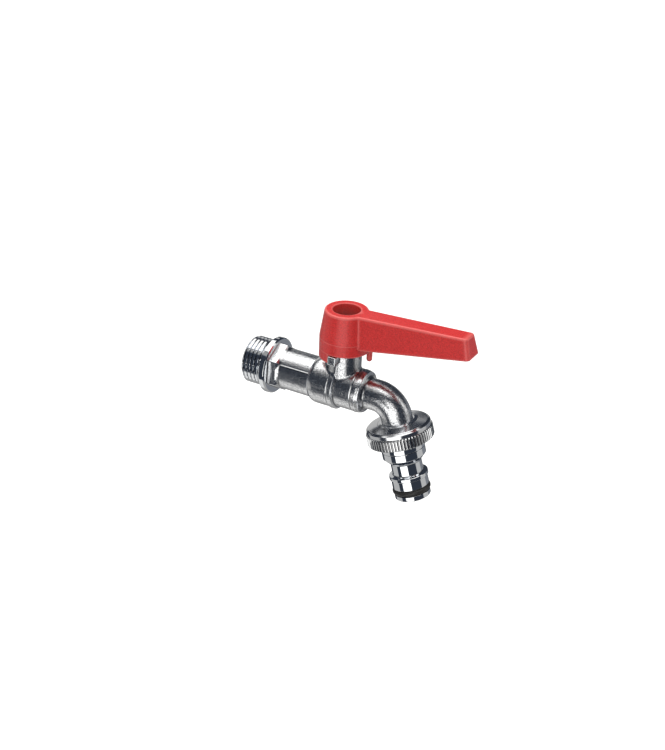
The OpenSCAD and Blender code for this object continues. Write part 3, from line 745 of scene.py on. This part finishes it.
def leverShell():
    # closed rings from the middle of the hollow's roof, down its walls, round the underside, up the sides,
    # over the top edge, across the top and down the screw recess
    v = lever
    count = tipN + cornerN + sideN + creaseN + bossN
    one = np.ones((1, count))
    xTop, _ = leverOutline(one)
    xLow, _ = leverOutline(0 * one)
    zTop, zLow = leverTop(xTop), leverBottom(xLow)
    # sides, from the lower edge up to where the top edge starts to round
    phi = np.linspace(0, math.pi / 2, 7)[:, None]
    rollZ = zTop - v["edgeR"] * (1 - np.sin(phi))
    rollF = (rollZ - zLow) / (zTop - zLow)
    lowEdge = v["lowEdgeR"]
    lowF = lowEdge / (zTop - zLow)
    wallF = mix(lowF, rollF[:1], np.linspace(0, 1, 26)[:-1, None])
    f = np.vstack([wallF, rollF])
    x, y = leverOutline(f)
    depth = np.vstack([np.zeros((25, 1)), v["edgeR"] * (1 - np.cos(phi))])
    x, y = insetOutline(x, y, depth)
    z = mix(zLow, zTop, f)
    side = bothHalves(x, y, z)
    # lower edge, rounded slightly
    phi = np.linspace(0, math.pi / 2, 4)[:, None]
    bx, by = leverOutline(lowF * np.sin(phi))
    bx, by = insetOutline(bx, by, lowEdge * (1 - np.sin(phi)))
    rim = bothHalves(bx, by, zLow + lowEdge * (1 - np.cos(phi)))[:-1]
    # top face, drawn in to the recess
    before = count - bossN
    jAngle = math.atan2(y[-1, before], x[-1, before])
    holeTurn = np.concatenate([np.linspace(0, jAngle, before, endpoint=False),
                               np.linspace(jAngle, math.pi, bossN)])
    lipR = v["recessR"] + v["recessLip"]
    k = np.linspace(0, 1, 26)[1:, None]
    tx = mix(x[-1:], lipR * np.cos(holeTurn), k)
    ty = mix(y[-1:], lipR * np.sin(holeTurn), k)
    face = bothHalves(tx, ty, leverTop(tx))
    q = np.linspace(0, math.pi / 2, 6)[1:, None]
    lip = np.hstack([v["bossTop"] - v["recessLip"] * (1 - np.cos(q)), lipR - v["recessLip"] * np.sin(q)])
    low, wide = v["recessFloor"], v["recessR"]
    well = holdEdges(np.vstack([lip, [[low + 0.5, wide - 0.08], [low + 0.1, wide - 0.4], [low, wide - 0.9],
                                      [low, 1.0]]]))
    hole = bothHalves(well[:, 1:] * np.cos(holeTurn), well[:, 1:] * np.sin(holeTurn), well[:, :1])
    # underside: in to the edge of the hollow, up its walls and in to the middle of its roof
    g = np.concatenate([np.zeros(tipN + cornerN), np.linspace(0, 1, sideN), np.ones(creaseN + bossN)])
    across = np.concatenate([np.linspace(0, 1, tipN + cornerN), np.ones(sideN),
                             np.linspace(1, 0, creaseN + bossN)])

    def hollow(f):
        far = mix(*v["tipX"], f) - v["wall"]
        hx = mix(far, v["hollowX"], g)
        return hx, (armHalf(hx, f) - v["wall"]) * across

    hx, hy = hollow(0.0)
    k = np.linspace(0, 1, 12)[1:, None]
    ux, uy = mix(bx[:1], hx, k), mix(by[:1], hy, k)
    under = bothHalves(ux, uy, leverBottom(ux))
    wf = np.linspace(0, 1, 8)[1:, None]
    wx, wy = hollow(wf * (1 - v["roof"] / v["armHigh"]))
    walls = bothHalves(wx, wy, mix(leverBottom(wx), leverTop(wx) - v["roof"], wf))
    rx = np.clip(wx[-1], v["hollowX"] + 2, wx[-1].max() - 2)
    k = np.linspace(0, 1, 4)[1:, None]
    ceilingX, ceilingY = mix(wx[-1], rx, k), wy[-1] * (1 - k)
    roof = bothHalves(ceilingX, ceilingY, leverTop(ceilingX) - v["roof"])
    inside = np.concatenate([roof[::-1], walls[::-1], under[::-1], rim])
    rows = np.concatenate([inside, side, face, hole])
    rows[..., 0] += tap["stemX"]
    return tube(rows)


tab = {"low": 14.2, "high": 18.6, "innerR": 8.4, "outerR": 10.96, "start": 190, "clear": 2.07}


def stopTab():
    # a ring sector hanging from the skirt, cut off square in front of the lug
    t = tab
    section = softCorners([(t["low"], t["innerR"], 0.35), (t["low"], t["outerR"], 0.35),
                           (t["high"], t["outerR"], 0.1), (t["high"], t["innerR"], 0.1)], True, 5)
    k = np.linspace(0, 1, 30)[:, None]
    radius, height = section[:, 1][None], section[:, 0][None]
    stop = math.pi + np.arccos(t["clear"] / radius)
    turn = mix(math.radians(t["start"]), stop, k)
    return tube(roundZ(height, radius, turn, tap["stemX"]))


peg = {"r": 1.25, "ballZ": 14.15, "top": 21.9, "turn": 18, "out": 10.6}


def stopPeg():
    # a pin with a half ball at its lower end
    a = np.linspace(0.02, math.pi / 2, 8)
    ball = np.column_stack([peg["ballZ"] - peg["r"] * np.cos(a), peg["r"] * np.sin(a)])
    line = np.vstack([ball, [[peg["top"], peg["r"]]]])
    at = math.radians(peg["turn"])
    return tube(roundZ(line[:, :1], line[:, 1:], angles(32)[None], tap["stemX"] + peg["out"] * math.cos(at),
                       peg["out"] * math.sin(at)))


def redLever():
    v = lever
    skirt = turned([(v["skirtZ"], v["skirtBoreR"], 0.3), (v["skirtZ"], v["skirtR"], 0.4),
                    (v["skirtTop"], v["skirtR"] + 0.01, 0), (v["webTop"], v["webR"], 0),
                    (v["webTop"], v["squareR"], 0), (v["webLow"], v["squareR"], 0),
                    (v["webLow"], v["skirtBoreR"], 0.3)],
                   lambda u, r, t: roundZ(u, r, t, tap["stemX"]), v["skirtCols"])
    piece = makePiece("lever_cast", [leverShell(), skirt, stopTab(), stopPeg()], "lever",
                      finish["redPaint"], ["lever"], sharp=30)
    # painted shade lies in the screw recess only, darker with depth; the other creases get the pale painted
    # highlight that edges get
    mesh = piece.data
    count = len(mesh.vertices)
    place, hollows, edges = np.empty(count * 3), np.empty(count), np.empty(count)
    mesh.vertices.foreach_get("co", place)
    mesh.attributes["hollow"].data.foreach_get("value", hollows)
    mesh.attributes["edge"].data.foreach_get("value", edges)
    x, y, z = place.reshape(-1, 3).T / mm
    within = (np.hypot(x - tap["stemX"], y) < v["recessR"] + 0.1) & (z > v["recessFloor"] - 0.1)
    depth = np.clip((v["bossTop"] - z) / (v["bossTop"] - v["recessFloor"]), 0, 1)
    edges = np.where(within, edges, np.maximum(edges, v["creaseLight"] * hollows))
    mesh.attributes["hollow"].data.foreach_set("value", np.where(within, depth ** v["paintedShadeRise"], 0))
    mesh.attributes["edge"].data.foreach_set("value", edges)
    return piece


redLever()
print("lever built")


# handle screw

screw = {
    "headR": 3.9, "headTop": 29.65, "dome": 0.55, "rimZ": 29.0, "headLow": 27.45, "shankR": 2.0, "end": 18.9,
    "slotDeep": 1.3, "slotHalf": 0.5, "slotReach": 2.3, "cols": 96,
}


def handleScrew():
    # a polar grid whose height is a low dome, less the cross where the recess is
    s = screw
    turn = angles(s["cols"])[None]
    r = np.linspace(0.15, s["headR"], 30)[:, None]
    x, y = np.abs(r * np.cos(turn)), np.abs(r * np.sin(turn))

    def arm(across, along):
        return (np.clip((s["slotHalf"] - across) / 0.12, 0, 1)
                * np.clip((s["slotReach"] - along) / 0.3, 0, 1))

    cross = np.maximum(arm(x, y), arm(y, x))
    dome = s["headTop"] - s["dome"] * (r / s["headR"]) ** 2 - s["slotDeep"] * cross
    head = roundZ(dome, r, turn, tap["stemX"])
    low = softCorners([(s["rimZ"], s["headR"] + 0.02, 0), (s["headLow"], s["headR"] + 0.02, 0.2),
                       (s["headLow"], s["shankR"], 0), (s["end"], s["shankR"], 0.3), (s["end"], 0.5, 0)],
                      False, 4)
    rows = np.concatenate([head, roundZ(low[:, :1], low[:, 1:], turn, tap["stemX"])])
    return makePiece("handle_screw_head", [tube(rows)], "lever", finish["zincSteel"],
                     ["handle_screw"], sharp=30)


handleScrew()

# pieces that keep their own shape
plain = {"tail_seal_ring": "blackRubber", "inlet_seat": "whitePtfe", "ball": "ballChrome",
         "outlet_seat": "whitePtfe", "stem": "turnedBrass", "thrust_washer": "whitePtfe",
         "lower_stem_oring": "blackRubber", "upper_stem_oring": "blackRubber",
         "lock_washer": "zincSteel", "outlet_gasket": "blackRubber"}
for node, name in plain.items():
    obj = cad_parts[node]
    obj.data.materials.clear()
    obj.data.materials.append(finish[name])
print("inner pieces finished")


# floor, light and camera

floorMat, nodes, links, skin = newMaterial("paleFloor")
skin.inputs["Base Color"].default_value = (0.93, 0.93, 0.93, 1)
skin.inputs["Roughness"].default_value = 0.9
skin.inputs["Specular IOR Level"].default_value = 0.1
skin.inputs["Emission Color"].default_value = (1, 1, 1, 1)
skin.inputs["Emission Strength"].default_value = 0.4
floorMesh = bpy.data.meshes.new("floor")
half, low = 40, -0.32  # metres
floorMesh.from_pydata([(-half, -half, low), (half, -half, low), (half, half, low), (-half, half, low)],
                      [], [(0, 1, 2, 3)])
floorMesh.materials.append(floorMat)
floor = bpy.data.objects.new("floor", floorMesh)
bpy.context.scene.collection.objects.link(floor)
floor.visible_glossy = False
floor.visible_diffuse = False

shot = {"azimuth": 28.6866, "elevation": 27.4483, "roll": 2.5689, "distance": 0.54036,
        "right": -0.00454, "up": 0.00424, "lens": 60.76, "sensor": 36}
a, e, r = (math.radians(shot[k]) for k in ("azimuth", "elevation", "roll"))
right = Vector((math.cos(a), math.sin(a), 0))
back = Vector((math.sin(a) * math.cos(e), -math.cos(a) * math.cos(e), math.sin(e)))
up = back.cross(right)
camRight, camUp = right * math.cos(r) + up * math.sin(r), up * math.cos(r) - right * math.sin(r)
cameraData = bpy.data.cameras.new("camera")
cameraData.lens = shot["lens"]
cameraData.sensor_width = shot["sensor"]
cameraData.clip_start, cameraData.clip_end = 0.01, 100
camera = bpy.data.objects.new("camera", cameraData)
bpy.context.scene.collection.objects.link(camera)
place = (Vector((tap["stemX"] * mm, 0, 0)) + camRight * shot["right"] + camUp * shot["up"]
         + back * shot["distance"])
turnTo = Matrix((camRight, camUp, back)).transposed().to_4x4()
camera.matrix_world = Matrix.Translation(place) @ turnTo
bpy.context.scene.camera = camera

# soft boxes of the studio as seen in reflections: middle and half width of azimuth from the camera's side,
# lowest and highest elevation, all in degrees, then brightness
softBoxes = [
    (-17, 25, -32, 2, 1.90),    # tall white card at the front
    (-3, 17, -2, 32, 1.60),
    (-100, 32, -90, -8, 0.48),  # pale tables to the left and right
    (88, 20, -45, 2, 0.50),
    (125, 18, -45, 10, 0.20),
    (88, 13, 0, 58, 0.95),      # narrow strip at the right
    (-62, 24, 42, 60, 0.33),
    (-132, 44, 36, 90, 1.40),   # large panel behind on the left
    (165, 16, -30, 0, 0.45),
    (-165, 17, -30, 24, 0.52),
    (0, 200, -90, -42, 0.34),   # the ground all round
]
room = {
    "base": 0.045,                             # brightness between the cards
    "sideSoft": 1.5, "endSoft": 4.0,           # degrees over which a card's edges fade
    "overheadFrom": 58.0, "overheadSoft": 8.0, "overhead": 1.7,
    "level": 0.65, "fromAbove": 0.32,          # plain light on rough surfaces, and its rise with height
    "backdrop": 1.1,                           # as the camera sees it
    "cardTone": 3.0,                           # how soon a bright part takes the cards' tone
}
world = bpy.data.worlds.new("studio")
bpy.context.scene.world = world
world.use_nodes = True
nodes, links = world.node_tree.nodes, world.node_tree.links
sky = nodes["Background"]


def calc(operation, *values, clamp=False):
    # one Math node of the room's light
    node = nodes.new("ShaderNodeMath")
    node.operation, node.use_clamp = operation, clamp
    for socket, value in zip(node.inputs, values):
        if isinstance(value, (int, float)):
            socket.default_value = value
        else:
            links.new(value, socket)
    return node.outputs[0]


coords = nodes.new("ShaderNodeTexCoord")
spin = nodes.new("ShaderNodeVectorRotate")
spin.rotation_type = "Z_AXIS"
spin.inputs["Angle"].default_value = -a
links.new(coords.outputs["Generated"], spin.inputs["Vector"])
axes = nodes.new("ShaderNodeSeparateXYZ")
links.new(spin.outputs["Vector"], axes.inputs["Vector"])
degrees = 180 / math.pi
azimuth = calc("ARCTAN2", axes.outputs["X"], calc("MULTIPLY", axes.outputs["Y"], -1.0))
azimuth = calc("MULTIPLY", azimuth, degrees)
elevation = calc("MULTIPLY", calc("ARCSINE", axes.outputs["Z"]), degrees)


def softEdge(inside, width):
    # 0 outside a box's edge, 1 inside it
    return calc("DIVIDE", inside, width, clamp=True)


light = room["base"]
for middle, half, low, high, power in softBoxes:
    aside = calc("ABSOLUTE", calc("SUBTRACT", azimuth, middle))
    across = softEdge(calc("SUBTRACT", half, aside), room["sideSoft"])
    above = softEdge(calc("SUBTRACT", elevation, low), room["endSoft"])
    below = softEdge(calc("SUBTRACT", high, elevation), room["endSoft"])
    mask = calc("MULTIPLY", calc("MULTIPLY", across, above), below)
    light = calc("ADD", calc("MULTIPLY", mask, power), light)
overhead = softEdge(calc("SUBTRACT", elevation, room["overheadFrom"]), room["overheadSoft"])
light = calc("ADD", calc("MULTIPLY", overhead, room["overhead"]), light)

# glossy rays see the cards, the camera sees the backdrop and all others a plain light from above
paths = nodes.new("ShaderNodeLightPath")
fromAbove = calc("ADD", calc("MULTIPLY", axes.outputs["Z"], room["fromAbove"]), room["level"])
seen, glossy = paths.outputs["Is Camera Ray"], paths.outputs["Is Glossy Ray"]
plainLight = calc("ADD", calc("MULTIPLY", calc("SUBTRACT", 1.0, seen), fromAbove),
                  calc("MULTIPLY", seen, room["backdrop"]))
diffuse = calc("MULTIPLY", calc("SUBTRACT", 1.0, glossy), plainLight)
strength = calc("ADD", calc("MULTIPLY", light, glossy), diffuse)
toned = nodes.new("ShaderNodeMix")  # the dark parts of the room are slightly blue, the cards slightly warm
toned.data_type = "RGBA"
toned.inputs["A"].default_value = (0.70, 0.90, 1.30, 1)
toned.inputs["B"].default_value = (1.0, 0.995, 0.975, 1)
links.new(calc("MULTIPLY", strength, room["cardTone"], clamp=True), toned.inputs["Factor"])
links.new(toned.outputs["Result"], sky.inputs["Color"])
links.new(strength, sky.inputs["Strength"])

lamps = {"keyLight": ((-0.10, 0.0, 0.80), 0.5, 2.8), "fillLight": ((0.5, -0.7, 0.35), 0.5, 0.5)}
aim = Vector((0.05, 0, 0))
for name, (spot, size, power) in lamps.items():
    lamp = bpy.data.lights.new(name, "AREA")
    lamp.energy, lamp.size = power, size
    lampObj = bpy.data.objects.new(name, lamp)
    bpy.context.scene.collection.objects.link(lampObj)
    lampObj.location = spot
    lampObj.rotation_mode = "QUATERNION"
    lampObj.rotation_quaternion = (aim - Vector(spot)).to_track_quat("-Z", "Y")
    lampObj.visible_glossy = False
bpy.context.scene.view_settings.view_transform = "Standard"
print("floor, light and camera set")
